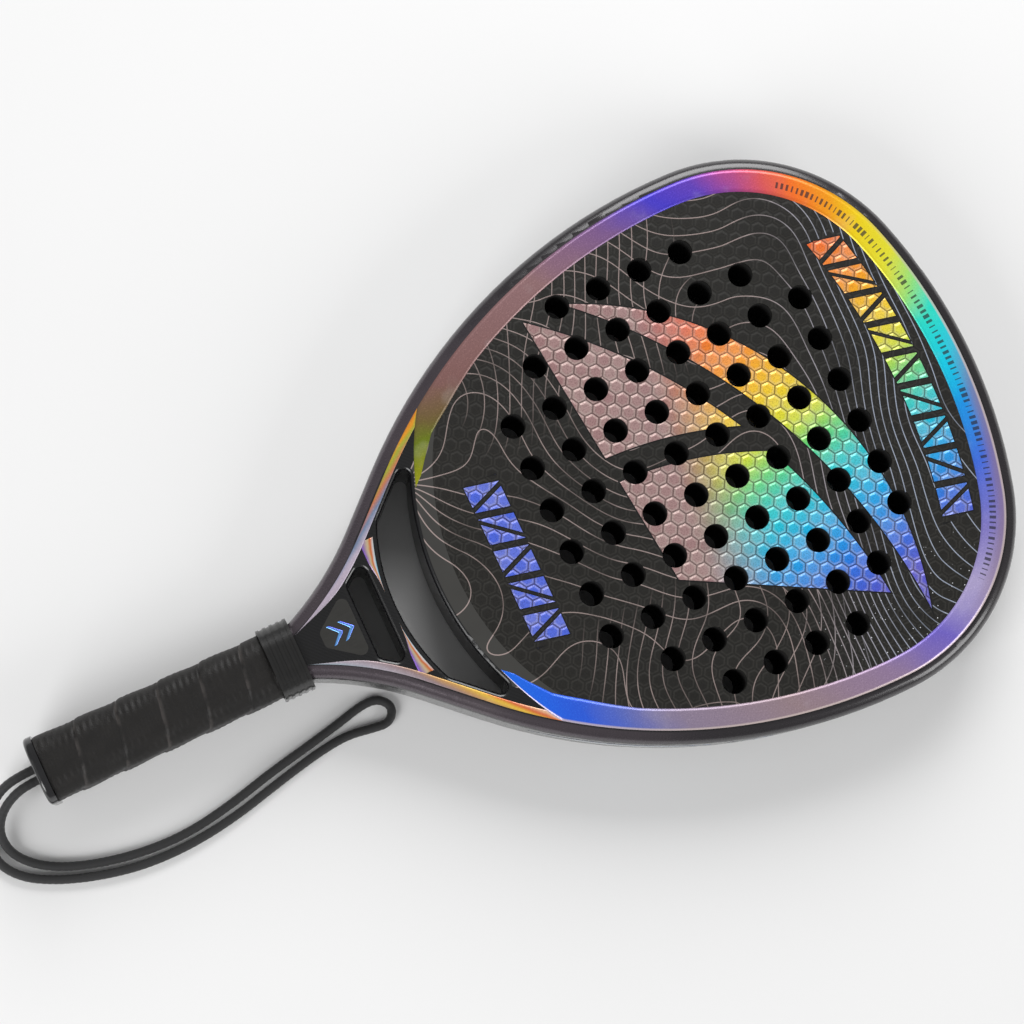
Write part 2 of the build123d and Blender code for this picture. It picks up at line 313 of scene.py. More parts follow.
def makeHexGroup():
    # six-sided cells with two flat sides across: distance to the nearest side, and a number per cell
    group, inside, outside = newGroup(
        "hexCells", [("Place", "Vector", None), ("Size", "Float", 6.45)], [("Edge", "Float"), ("Cell", "Float")]
    )
    scaled = vectorCalc(group, "DIVIDE", inside.outputs["Place"],
                        addNode(group, "ShaderNodeCombineXYZ", in0=inside.outputs["Size"],
                                in1=inside.outputs["Size"], in2=inside.outputs["Size"]).outputs[0])
    flat = vectorCalc(group, "MULTIPLY", scaled, (1.0, 1.0, 0.0))
    step, half = (math.sqrt(3), 1.0, 1.0), (math.sqrt(3) / 2, 0.5, 0.0)

    def toCell(offset):
        moved = vectorCalc(group, "ADD", flat, (600 * math.sqrt(3) + offset[0], 600.0 + offset[1], 0.5))
        return vectorCalc(group, "SUBTRACT", vectorCalc(group, "MODULO", moved, step), (*half[:2], 0.5))

    first, second = toCell((0.0, 0.0)), toCell(half)
    nearer = calc(group, "LESS_THAN", vectorCalc(group, "DOT_PRODUCT", first, first),
                  vectorCalc(group, "DOT_PRODUCT", second, second))
    pick = group.nodes.new("ShaderNodeMix")
    pick.data_type = "VECTOR"
    for k, value in ((0, nearer), (4, second), (5, first)):
        put(group, pick.inputs[k], value)
    local = pick.outputs[1]
    size = vectorCalc(group, "ABSOLUTE", local)
    slanted = vectorCalc(group, "DOT_PRODUCT", size, (math.sqrt(3) / 2, 0.5, 0.0))
    upright = axesOf(group, size)[1]
    edge = calc(group, "SUBTRACT", 0.5, calc(group, "MAXIMUM", slanted, upright))
    middle = vectorCalc(group, "SUBTRACT", flat, local)
    number = addNode(group, "ShaderNodeTexWhiteNoise", noise_dimensions="3D",
                     in0=vectorCalc(group, "SNAP", vectorCalc(group, "ADD", middle, (0.05, 0.05, 0.05)),
                                    (0.2, 0.2, 0.2)))
    giveOut(outside, Edge=edge, Cell=number.outputs["Value"])
    return group


def makeGrainGroup():
    # fine speckle and slow clouds, both about 0 to 1
    group, inside, outside = newGroup(
        "surfaceGrain", [("Place", "Vector", None), ("Fine", "Float", 2.0), ("Slow", "Float", 0.05)],
        [("Speckle", "Float"), ("Cloud", "Float")]
    )
    place = inside.outputs["Place"]
    fine = noise(group, place, inside.outputs["Fine"], 2)
    slow = noise(group, place, inside.outputs["Slow"], 3)
    giveOut(outside, Speckle=fine, Cloud=slow)
    return group


def makeFieldGroup():
    # the height whose level lines are drawn: bands across one slant, a fan from the throat's left corner,
    # and a turn to the other slant near the tip; the second family crosses the first
    group, inside, outside = newGroup(
        "lineField", [("Place", "Vector", None)], [("Height", "Float"), ("Cross", "Float")]
    )
    place = inside.outputs["Place"]
    up = vectorCalc(group, "DOT_PRODUCT", place, (0.42, 0.90, 0.0))
    ahead = vectorCalc(group, "DOT_PRODUCT", place, (0.90, -0.42, 0.0))
    slow = noise(group, vectorCalc(group, "ADD", place, (310.0, 120.0, 0.0)), 0.0105, 0.4, "2D")
    swirl = noise(group, vectorCalc(group, "ADD", place, (-90.0, 260.0, 0.0)), 0.019, 0.0, "2D")
    corner = vectorCalc(group, "SUBTRACT", place, (-33.0, 48.0, 0.0))
    arms = axesOf(group, corner)
    fan = times(group, calc(group, "ARCTAN2", arms[1], arms[0]), 4.6)
    nearCorner = invert(group, ease(group, vectorCalc(group, "LENGTH", corner), 40.0, 105.0))
    height = calc(group, "MULTIPLY_ADD", slow, 6.5, times(group, up, 0.085))
    height = calc(group, "MULTIPLY_ADD", swirl, 2.4, height)
    height = calc(group, "MULTIPLY_ADD", calc(group, "SUBTRACT", fan, times(group, up, 0.085)),
                  nearCorner, height)
    nearTip = ease(group, ahead, 95.0, 190.0)
    height = calc(group, "MULTIPLY_ADD", times(group, ahead, 0.085), nearTip, height)
    cross = calc(group, "MULTIPLY_ADD", swirl, 4.0, times(group, ahead, 0.135))
    giveOut(outside, Height=height, Cross=cross)
    return group


def makeLinesGroup(field):
    # level lines of even width: distance to a whole level, over how fast the height changes
    group, inside, outside = newGroup(
        "contourLines", [("Place", "Vector", None), ("Width", "Float", 0.5)],
        [("Main", "Float"), ("Second", "Float")]
    )
    place = vectorCalc(group, "MULTIPLY", inside.outputs["Place"], (1.0, 1.0, 0.0))
    step = 0.4
    here = useGroup(group, field, Place=place)
    ahead = useGroup(group, field, Place=vectorCalc(group, "ADD", place, (step, 0.0, 0.0)))
    aside = useGroup(group, field, Place=vectorCalc(group, "ADD", place, (0.0, step, 0.0)))
    for source, result in (("Height", "Main"), ("Cross", "Second")):
        value = here.outputs[source]
        dx = calc(group, "DIVIDE", calc(group, "SUBTRACT", ahead.outputs[source], value), step)
        dy = calc(group, "DIVIDE", calc(group, "SUBTRACT", aside.outputs[source], value), step)
        steep = calc(group, "SQRT", calc(group, "MULTIPLY_ADD", dx, dx, times(group, dy, dy)))
        steep = calc(group, "MAXIMUM", steep, 0.012)
        off = calc(group, "ABSOLUTE", calc(group, "SUBTRACT", value, calc(group, "ROUND", value)))
        away = calc(group, "DIVIDE", calc(group, "DIVIDE", off, steep), inside.outputs["Width"])
        line = invert(group, ease(group, away, 0.38, 0.62))
        feed(outside, result, line)
    return group


graphicSet = {
    # discs are (x, y, radius), sides are (x, y, way it faces in degrees)
    "bladeOuter": (9.3, -53.2, 155.9),
    "bladeInner": (-110.3, -110.5, 268.5),
    "blockOuter": (-110.3, -110.5, 256.0),
    "blockBack": (56.5, 0.0, 6.0),
    "blockFoot": (100.0, -62.0, 62.0),
    "gapOuter": (52.0, -160.0, 181.0),
    "gapInner": (52.0, -164.0, 173.0),
}


def makeGraphicGroup(shape):
    # signed distances to discs and sides, joined by the lesser and the greater of two
    group, inside, outside = newGroup(
        "bladeGraphic", [("Place", "Vector", None)], [("Fill", "Float"), ("Rim", "Float")]
    )
    place = vectorCalc(group, "MULTIPLY", inside.outputs["Place"], (1.0, 1.0, 0.0))

    def disc(name):
        x, y, radius = shape[name]
        return calc(group, "SUBTRACT", radius, vectorCalc(group, "DISTANCE", place, (x, y, 0.0)))

    def side(name):
        x, y, way = shape[name]
        facing = (math.cos(math.radians(way)), math.sin(math.radians(way)), 0.0)
        return vectorCalc(group, "DOT_PRODUCT", vectorCalc(group, "SUBTRACT", place, (x, y, 0.0)), facing)

    def without(value, hole):
        return calc(group, "MINIMUM", value, times(group, hole, -1.0))

    blade = without(disc("bladeOuter"), disc("bladeInner"))
    block = calc(group, "MINIMUM", disc("blockOuter"), side("blockBack"))
    block = calc(group, "MINIMUM", block, side("blockFoot"))
    gap = without(disc("gapOuter"), disc("gapInner"))
    block = without(block, gap)
    both = calc(group, "MAXIMUM", blade, block)
    fill = ease(group, both, 0.0, 0.12)
    rim = invert(group, ease(group, calc(group, "ABSOLUTE", calc(group, "ADD", both, 0.25)), 0.28, 0.4))
    giveOut(outside, Fill=fill, Rim=rim)
    return group


def makeTileGroup():
    # a row of slanted tiles along a large circle, each split by a thin diagonal cut
    group, inside, outside = newGroup(
        "tileRow",
        [("Place", "Vector", None), ("Centre", "Float", -80.0), ("Radius", "Float", 276.0),
         ("Half", "Float", 7.2), ("Low", "Float", -68.0), ("High", "Float", 71.6), ("Pitch", "Float", 15.6)],
        [("Fill", "Float"), ("Rim", "Float"), ("Zone", "Float")]
    )
    axes = axesOf(group, inside.outputs["Place"])
    y = axes[1]
    dx = calc(group, "SUBTRACT", axes[0], inside.outputs["Centre"])
    away = calc(group, "SUBTRACT", calc(group, "SQRT", calc(group, "MULTIPLY_ADD", dx, dx,
                                                              times(group, y, y))),
                inside.outputs["Radius"])
    across = calc(group, "SUBTRACT", inside.outputs["Half"], calc(group, "ABSOLUTE", away))
    leaned = calc(group, "MULTIPLY_ADD", away, 0.22, y)
    start = calc(group, "SUBTRACT", leaned, inside.outputs["Low"])
    cell = calc(group, "DIVIDE", start, inside.outputs["Pitch"])
    part = calc(group, "SUBTRACT", calc(group, "FRACT", cell), 0.5)
    half = times(group, inside.outputs["Pitch"], 0.40)
    inCell = calc(group, "ABSOLUTE", times(group, part, inside.outputs["Pitch"]))
    inCell = calc(group, "SUBTRACT", half, inCell)
    odd = calc(group, "PINGPONG", calc(group, "FLOOR", cell), 1.0)
    odd = calc(group, "SUBTRACT", times(group, odd, 2.0), 1.0)
    cut = calc(group, "MULTIPLY_ADD", times(group, away, odd), 0.62,
               times(group, part, inside.outputs["Pitch"]))
    slit = calc(group, "SUBTRACT", calc(group, "ABSOLUTE", cut), 1.1)
    ends = calc(group, "MINIMUM", calc(group, "SUBTRACT", y, inside.outputs["Low"]),
                calc(group, "SUBTRACT", inside.outputs["High"], y))
    shape = calc(group, "MINIMUM", calc(group, "MINIMUM", across, inCell), calc(group, "MINIMUM", slit, ends))
    fill = ease(group, shape, 0.0, 0.12)
    rim = invert(group, ease(group, calc(group, "ABSOLUTE", calc(group, "ADD", shape, 0.22)), 0.22, 0.34))
    giveOut(outside, Fill=fill, Zone=ease(group, calc(group, "MINIMUM", across, ends), -0.3, 0.0), Rim=rim)
    return group


hueSet = {
    # along the racket's width where the foil is at its most vivid, from the left edge (0) to the right edge (1)
    "vivid": ((0.0, (236, 70, 60)), (0.14, (240, 96, 30)), (0.28, (247, 150, 20)), (0.40, (246, 205, 20)),
              (0.50, (214, 226, 60)), (0.57, (96, 214, 120)), (0.66, (30, 205, 210)), (0.78, (30, 170, 235)),
              (0.90, (40, 110, 225)), (1.0, (80, 80, 205))),
    "quiet": (158, 122, 122),
    "cool": (78, 104, 222),
}


def makeHueGroup(hue):
    # the foil's colour over the face: quiet towards the handle, vivid towards the tip, cool at the throat
    group, inside, outside = newGroup("foilHue", [("Place", "Vector", None)], [("Color", "Color")])
    axes = axesOf(group, inside.outputs["Place"])
    x, y = axes[0], axes[1]
    phase = calc(group, "MULTIPLY_ADD", y, -1 / 175.0, 0.50)
    phase = calc(group, "MULTIPLY_ADD", calc(group, "SUBTRACT", x, 130.0), 0.0012, phase, clamp=True)
    vivid = ramp(group, phase, hue["vivid"])
    reach = calc(group, "MULTIPLY_ADD", y, -0.16, x)
    mix = ease(group, reach, 78.0, 116.0)
    color = mixColor(group, mix, linear(*hue["quiet"]), vivid)
    color = mixColor(group, ease(group, x, 40.0, 22.0), color, linear(*hue["cool"]))
    giveOut(outside, Color=color)
    return group


hexCells = makeHexGroup()
surfaceGrain = makeGrainGroup()
lineField = makeFieldGroup()
contourLines = makeLinesGroup(lineField)
bladeGraphic = makeGraphicGroup(graphicSet)
tileRow = makeTileGroup()
foilHue = makeHueGroup(hueSet)
print("shared effects made")


# materials

def makeFaceMaterial(name, withTiles):
    # dark carbon with raised six-sided cells, silvery level lines, foil graphic and foil tiles; a painted
    # highlight on each cell's lip and painted shade in the foil's grooves
    material, tree, shader = newMaterial(
        name, **{"Coat Roughness": 0.25, "Coat IOR": 1.4, "Specular IOR Level": 0.28}
    )
    place = placeInMm(tree)
    axes = axesOf(tree, place)
    x, y = axes[0], axes[1]
    cells = useGroup(tree, hexCells, Place=place, Size=6.45)
    grain = useGroup(tree, surfaceGrain, Place=place, Fine=1.6, Slow=0.035)
    lines = useGroup(tree, contourLines, Place=place, Width=0.44)
    blade = useGroup(tree, bladeGraphic, Place=place)
    hue = useGroup(tree, foilHue, Place=place)
    fill, rim = blade.outputs["Fill"], blade.outputs["Rim"]
    clear = 1.0
    if withTiles:
        near = useGroup(tree, tileRow, Place=place)
        far = useGroup(tree, tileRow, Place=place, Centre=-4000.7, Radius=4000.0, Half=7.8,
                       Low=-42.5, High=35.0, Pitch=15.5)
        for row in (near, far):
            clear = times(tree, clear, invert(tree, row.outputs["Zone"]))
            fill = calc(tree, "MAXIMUM", fill, row.outputs["Fill"])
            rim = calc(tree, "MAXIMUM", rim, row.outputs["Rim"])
    crossing = times(tree, ease(tree, x, 0.0, 20.0), invert(tree, ease(tree, x, 112.0, 130.0)))
    crossing = times(tree, crossing, ease(tree, calc(tree, "ABSOLUTE", y), 38.0, 62.0))
    second = times(tree, lines.outputs["Second"], crossing)
    drawn = times(tree, calc(tree, "MAXIMUM", lines.outputs["Main"], second), clear)
    drawn = times(tree, drawn, invert(tree, calc(tree, "MAXIMUM", fill, rim)))

    weave = calc(tree, "MULTIPLY_ADD", grain.outputs["Speckle"], 0.9, 0.55)
    carbon = mixColor(tree, grain.outputs["Cloud"], (0.0095, 0.0090, 0.0078), (0.0165, 0.0155, 0.0135))
    weave = addNode(tree, "ShaderNodeCombineXYZ", in0=weave, in1=weave, in2=weave).outputs[0]
    carbon = mixColor(tree, 1.0, carbon, weave, "MULTIPLY")
    # the grooves between cells; on the foil they are darkened as painted shade
    grooveShade = invert(tree, ease(tree, cells.outputs["Edge"], 0.015, 0.07))
    # a ring just inside each cell's edge: a painted highlight where the raised cells' lips catch the light, on
    # the carbon and on the foil
    lipHighlight = times(tree, ease(tree, cells.outputs["Edge"], 0.04, 0.10),
               invert(tree, ease(tree, cells.outputs["Edge"], 0.10, 0.22)))
    carbon = mixColor(tree, times(tree, lipHighlight, 0.35), carbon, (0.045, 0.043, 0.038))
    fading = ease(tree, grain.outputs["Cloud"], 0.34, 0.52)
    drawn = times(tree, drawn, calc(tree, "MULTIPLY_ADD", fading, 0.6, 0.4))
    silver = mixColor(tree, ease(tree, calc(tree, "MULTIPLY_ADD", y, -0.3, x), 120.0, 190.0),
                      linear(168, 150, 146), linear(176, 186, 205))
    foil = mixColor(tree, times(tree, lipHighlight, 0.16), hue.outputs["Color"], (0.95, 0.9, 0.78))
    # painted shade in the grooves between the foil's raised cells
    foil = mixColor(tree, times(tree, grooveShade, 0.78), foil, linear(58, 42, 38))
    foil = mixColor(tree, times(tree, cells.outputs["Cell"], 0.10), foil, (1.0, 0.95, 0.85))
    foil = mixColor(tree, times(tree, ease(tree, grain.outputs["Speckle"], 0.42, 0.7), 0.35), foil,
                    (0.16, 0.11, 0.10), "MULTIPLY")
    dots = addNode(tree, "ShaderNodeTexVoronoi", in0=place)
    feed(dots, "Scale", 0.42)
    feed(dots, "Randomness", 1.0)
    zone = times(tree, ease(tree, x, 92.0, 130.0), ease(tree, times(tree, y, -1.0), 66.0, 88.0))
    speck = times(tree, invert(tree, ease(tree, dots.outputs["Distance"], 0.05, 0.12)), zone)

    color = mixColor(tree, times(tree, drawn, 0.72), carbon, silver)
    color = mixColor(tree, speck, color, (0.8, 0.82, 0.86))
    color = mixColor(tree, rim, color, (0.006, 0.006, 0.006))
    color = mixColor(tree, fill, color, foil)
    feed(shader, "Base Color", color)
    metal = calc(tree, "MULTIPLY_ADD", fill, 0.2, times(tree, drawn, 0.2))
    feed(shader, "Metallic", metal)
    rough = calc(tree, "MULTIPLY_ADD", grain.outputs["Speckle"], 0.18, 0.36)
    feed(shader, "Roughness", calc(tree, "MULTIPLY_ADD", fill, -0.1, rough))
    feed(shader, "Coat Weight", calc(tree, "MULTIPLY_ADD", fill, 0.12, 0.05))
    dome = ease(tree, cells.outputs["Edge"], 0.0, 0.24)
    relief = times(tree, dome, calc(tree, "MULTIPLY_ADD", fill, 0.75, 0.25))
    relief = calc(tree, "MULTIPLY_ADD", grain.outputs["Speckle"], 0.05, relief)
    relief = calc(tree, "MULTIPLY_ADD", drawn, 0.1, relief)
    relief = calc(tree, "MULTIPLY_ADD", fill, 0.2, relief)
    addBump(tree, shader, relief, 0.00042, 1.0)
    return material


def makeBowMaterial():
    # smooth dark carbon that the level lines run out onto
    material, tree, shader = newMaterial("bowCarbon", **{"Coat Weight": 0.2, "Coat Roughness": 0.3})
    place = placeInMm(tree)
    grain = useGroup(tree, surfaceGrain, Place=place, Fine=2.4, Slow=0.05)
    lines = useGroup(tree, contourLines, Place=place, Width=0.52)
    up = axesOf(tree, tree.nodes.new("ShaderNodeNewGeometry").outputs["Normal"])
    level = ease(tree, calc(tree, "ABSOLUTE", up[2]), 0.985, 0.999)
    flat = mixColor(tree, grain.outputs["Cloud"], (0.030, 0.029, 0.027), (0.044, 0.043, 0.039))
    color = mixColor(tree, level, (0.006, 0.006, 0.007), flat)
    drawn = times(tree, times(tree, lines.outputs["Main"], level), 0.8)
    color = mixColor(tree, drawn, color, linear(168, 150, 146))
    feed(shader, "Base Color", color)
    feed(shader, "Roughness", calc(tree, "MULTIPLY_ADD", level, 0.12, 0.28))
    return material


def makeGlossMaterial(name, paintedSheenAmount):
    # black lacquered carbon, with a painted lilac-grey sheen (a painted reflection) on the arms' rounded outer
    # edges
    material, tree, shader = newMaterial(name, **{"Coat Weight": 0.4, "Coat Roughness": 0.14})
    place = placeInMm(tree)
    grain = useGroup(tree, surfaceGrain, Place=place, Fine=0.9, Slow=0.03)
    axes = axesOf(tree, place)
    up = axesOf(tree, tree.nodes.new("ShaderNodeNewGeometry").outputs["Normal"])
    tilt = calc(tree, "ABSOLUTE", up[2])
    # where the painted sheen goes: rounded edges that face outward, strongest along the arms
    onRound = times(tree, ease(tree, tilt, 0.12, 0.55), invert(tree, ease(tree, tilt, 0.985, 0.998)))
    outward = ease(tree, times(tree, up[1], calc(tree, "SIGN", axes[1])), 0.02, 0.12)
    outward = calc(tree, "MAXIMUM", outward, ease(tree, axes[0], 20.0, 40.0))
    alongArm = invert(tree, ease(tree, axes[0], -30.0, 60.0))
    paintedSheen = times(tree, onRound, calc(tree, "MULTIPLY_ADD", alongArm, 0.75, 0.16))
    paintedSheen = times(tree, times(tree, paintedSheen, outward), paintedSheenAmount)
    twill = addNode(tree, "ShaderNodeTexWave", in0=place, wave_type="BANDS", bands_direction="DIAGONAL")
    feed(twill, "Scale", 0.32)
    feed(twill, "Distortion", 0.6)
    base = mixColor(tree, times(tree, twill.outputs["Fac"], 0.5), (0.0045, 0.0045, 0.005),
                    (0.010, 0.010, 0.011))
    paintedSheenColor = mixColor(tree, grain.outputs["Cloud"], linear(64, 57, 66), linear(100, 91, 96))
    feed(shader, "Base Color", mixColor(tree, paintedSheen, base, paintedSheenColor))
    feed(shader, "Roughness", calc(tree, "MULTIPLY_ADD", grain.outputs["Speckle"], 0.06, 0.24))
    feed(shader, "Metallic", times(tree, paintedSheen, 0.6))
    return material


bandStops = (
    # place round the head from the neck's right side (0) to its left side (1)
    (0.0, (20, 90, 200)), (0.06, (24, 100, 220)), (0.095, (28, 108, 232)), (0.118, (34, 100, 232)),
    (0.140, (44, 92, 220)), (0.162, (92, 108, 190)), (0.19, (140, 126, 150)), (0.25, (150, 128, 134)),
    (0.30, (146, 122, 156)), (0.335, (112, 98, 196)), (0.37, (176, 164, 206)), (0.41, (126, 118, 196)),
    (0.445, (66, 108, 222)), (0.475, (20, 150, 232)), (0.500, (14, 204, 232)), (0.523, (40, 222, 200)),
    (0.540, (150, 226, 120)), (0.558, (226, 222, 50)), (0.585, (240, 206, 14)), (0.605, (242, 150, 20)),
    (0.625, (244, 112, 36)), (0.645, (214, 84, 90)), (0.662, (168, 72, 140)), (0.682, (96, 62, 180)),
    (0.705, (66, 56, 196)), (0.735, (122, 88, 138)), (0.78, (142, 108, 110)), (0.85, (128, 92, 88)),
    (0.870, (110, 92, 52)), (0.884, (104, 120, 22)), (0.905, (150, 150, 22)), (1.0, (220, 120, 30)),
)
armStops = (
    (0.0, (150, 172, 182)), (0.03, (172, 164, 176)), (0.06, (150, 128, 130)), (0.08, (196, 150, 96)),
    (0.10, (232, 190, 70)), (0.115, (214, 98, 60)), (0.13, (236, 190, 150)), (0.145, (90, 130, 220)),
    (0.5, (120, 120, 120)), (0.855, (200, 120, 50)), (0.875, (226, 150, 40)), (0.89, (160, 168, 60)),
    (0.91, (196, 120, 84)), (0.93, (110, 130, 160)), (0.955, (186, 172, 190)), (1.0, (170, 160, 172)),
)


def makeBandMaterial(name, stops, dashed):
    # iridescent foil: its colour follows the way round the head, with fine grain, a row of short dark dashes,
    # and on the head band a painted highlight along its outer edge
    material, tree, shader = newMaterial(
        name, **{"Coat Weight": 0.15, "Coat Roughness": 0.15, "Specular IOR Level": 0.4}
    )
    way = axesOf(tree, uvPlace(tree))
    place = placeInMm(tree)
    grain = useGroup(tree, surfaceGrain, Place=place, Fine=1.5, Slow=0.06)
    wander = calc(tree, "MULTIPLY_ADD", calc(tree, "SUBTRACT", grain.outputs["Cloud"], 0.5), 0.016, way[0])
    lean = 0.008 if dashed else 0.03      # how much the colour shifts from one edge to the other
    wander = calc(tree, "MULTIPLY_ADD", calc(tree, "SUBTRACT", way[1], 0.5), lean, wander)
    color = ramp(tree, wander, stops)
    color = mixColor(tree, times(tree, ease(tree, grain.outputs["Speckle"], 0.5, 0.75), 0.4), color,
                     (1.0, 0.97, 0.95), "SOFT_LIGHT")
    pale = times(tree, ease(tree, grain.outputs["Cloud"], 0.56, 0.72), 0.07)
    color = mixColor(tree, pale, color, (0.85, 0.82, 0.86))
    outerPart = invert(tree, ease(tree, way[1], 0.12, 0.62))
    nearTip = times(tree, ease(tree, way[0], 0.33, 0.40),
                   invert(tree, ease(tree, way[0], 0.47, 0.52)))
    dull = times(tree, times(tree, outerPart, nearTip), 0.7 * dashed)
    color = mixColor(tree, dull, color, linear(140, 118, 142))
    # a painted highlight: a pale line along the band's outer edge, over one side of the head, on the head band
    # only
    paintedEdgeHighlight = invert(tree, ease(tree, way[1], 0.04, 0.12))
    paintedEdgeHighlight = times(tree, paintedEdgeHighlight, invert(tree, ease(tree, way[0], 0.52, 0.60)))
    color = mixColor(tree, times(tree, paintedEdgeHighlight, 0.75 * dashed), color, linear(226, 208, 202))
    dash = times(tree, way[0], 330.0)
    number = addNode(tree, "ShaderNodeTexWhiteNoise", noise_dimensions="1D")
    feed(number, "W", calc(tree, "FLOOR", dash))
    wide = calc(tree, "MULTIPLY_ADD", number.outputs["Value"], 0.28, 0.06)
    fromMiddle = calc(tree, "ABSOLUTE", calc(tree, "SUBTRACT", calc(tree, "FRACT", dash), 0.5))
    onDash = calc(tree, "LESS_THAN", fromMiddle, wide)
    inRow = calc(tree, "LESS_THAN", calc(tree, "ABSOLUTE", calc(tree, "SUBTRACT", way[1], 0.54)), 0.13)
    inPart = times(tree, ease(tree, way[0], 0.374, 0.375),
                  invert(tree, ease(tree, way[0], 0.636, 0.637)))
    dashes = times(tree, times(tree, onDash, inRow),
                  times(tree, inPart, float(dashed)))
    color = mixColor(tree, times(tree, dashes, 0.85), color, (0.02, 0.02, 0.025))
    feed(shader, "Base Color", color)
    feed(shader, "Metallic", calc(tree, "MULTIPLY_ADD", dashes, -0.2, 0.25))
    feed(shader, "Roughness", calc(tree, "MULTIPLY_ADD", grain.outputs["Speckle"], 0.22, 0.2))
    addBump(tree, shader, grain.outputs["Speckle"], 0.00006, 0.5)
    return material


def makeDecalMaterial(name, stops, metal):
    # narrow foil trim whose colours run across it, with a pale stripe; on the bar's spikes the white stripe is
    # a painted highlight along the edge
    material, tree, shader = newMaterial(name, **{"Coat Weight": 0.6, "Coat Roughness": 0.08})
    way = axesOf(tree, uvPlace(tree))
    grain = useGroup(tree, surfaceGrain, Place=placeInMm(tree), Fine=1.2, Slow=0.12)
    phase = calc(tree, "MULTIPLY_ADD", grain.outputs["Cloud"], 0.3, times(tree, way[1], 0.7))
    phase = calc(tree, "MULTIPLY_ADD", way[0], 0.25, phase, clamp=True)
    feed(shader, "Base Color", ramp(tree, phase, stops))
    feed(shader, "Metallic", calc(tree, "MULTIPLY_ADD", grain.outputs["Speckle"], 0.1, metal))
    feed(shader, "Roughness", calc(tree, "MULTIPLY_ADD", grain.outputs["Speckle"], 0.15, 0.16))
    return material


def makeFoamMaterial():
    # black closed-cell foam: fine pores
    material, tree, shader = newMaterial("blackFoam")
    place = placeInMm(tree)
    pores = addNode(tree, "ShaderNodeTexVoronoi", in0=place)
    feed(pores, "Scale", 1.6)
    grain = useGroup(tree, surfaceGrain, Place=place, Fine=2.0, Slow=0.1)
    color = mixColor(tree, grain.outputs["Cloud"], (0.008, 0.008, 0.008), (0.020, 0.019, 0.018))
    feed(shader, "Base Color", color)
    feed(shader, "Roughness", calc(tree, "MULTIPLY_ADD", grain.outputs["Speckle"], 0.2, 0.6))
    addBump(tree, shader, pores.outputs["Distance"], 0.0003, 0.6)
    return material


def makeBadgeMaterial():
    # satin graphite with a fine brushed grain
    material, tree, shader = newMaterial("badgeGraphite", **{"Coat Weight": 0.2, "Coat Roughness": 0.2})
    place = placeInMm(tree)
    brushed = noise(tree, vectorCalc(tree, "MULTIPLY", place, (0.25, 5.0, 1.0)), 1.2, 3)
    feed(shader, "Base Color", mixColor(tree, brushed, (0.014, 0.0135, 0.012), (0.030, 0.029, 0.026)))
    feed(shader, "Roughness", calc(tree, "MULTIPLY_ADD", brushed, 0.3, 0.28))
    addBump(tree, shader, brushed, 0.00005, 0.5)
    return material


def makeGripMaterial():
    # tacky black tape: fine leather-like grain, paler along the lapped edges as a painted highlight where the
    # raised edges catch the light
    material, tree, shader = newMaterial(
        "gripTape", **{"Coat Weight": 0.06, "Coat Roughness": 0.35, "Specular IOR Level": 0.3}
    )
    place = placeInMm(tree)
    lap = axesOf(tree, uvPlace(tree))[1]
    grain = useGroup(tree, surfaceGrain, Place=place, Fine=3.2, Slow=0.14)
    pebble = addNode(tree, "ShaderNodeTexVoronoi", in0=place, feature="SMOOTH_F1")
    feed(pebble, "Scale", 1.9)
    # painted highlight along each lap's raised edge, broken up by the slow clouds
    edge = times(tree, invert(tree, ease(tree, calc(tree, "FRACT", lap), 0.02, 0.12)),
                ease(tree, grain.outputs["Cloud"], 0.42, 0.62))
    color = mixColor(tree, grain.outputs["Cloud"], (0.005, 0.0045, 0.0042), (0.012, 0.0105, 0.0095))
    color = mixColor(tree, times(tree, edge, 0.55), color, (0.075, 0.066, 0.062))
    feed(shader, "Base Color", color)
    feed(shader, "Roughness", calc(tree, "MULTIPLY_ADD", grain.outputs["Speckle"], 0.25, 0.42))
    relief = calc(tree, "MULTIPLY_ADD", grain.outputs["Speckle"], 0.5, pebble.outputs["Distance"])
    addBump(tree, shader, relief, 0.00018, 0.7)
    return material


def makeRubberMaterial(name, low, high, rough, coat):
    material, tree, shader = newMaterial(name, **{"Coat Weight": coat, "Coat Roughness": 0.12})
    place = placeInMm(tree)
    grain = useGroup(tree, surfaceGrain, Place=place, Fine=2.2, Slow=0.2)
    feed(shader, "Base Color", mixColor(tree, grain.outputs["Cloud"], low, high))
    feed(shader, "Roughness", calc(tree, "MULTIPLY_ADD", grain.outputs["Speckle"], 0.14, rough))
    addBump(tree, shader, grain.outputs["Speckle"], 0.00005, 0.5)
    return material


def makeCordMaterial():
    # braided black yarn: fine fibres along each plait
    material, tree, shader = newMaterial("cordBraid", **{"Sheen Weight": 0.25, "Sheen Roughness": 0.5})
    stretched = vectorCalc(tree, "MULTIPLY", uvPlace(tree), (900.0, 26.0, 1.0))
    fibre = noise(tree, stretched, 1.0, 3)
    color = mixColor(tree, fibre, (0.004, 0.004, 0.0045), (0.020, 0.020, 0.021))
    feed(shader, "Base Color", color)
    feed(shader, "Roughness", calc(tree, "MULTIPLY_ADD", fibre, 0.2, 0.62))
    addBump(tree, shader, fibre, 0.00015, 0.6)
    return material


faceCarbon = makeFaceMaterial("faceCarbon", True)
backCarbon = makeFaceMaterial("backCarbon", False)
bowCarbon = makeBowMaterial()
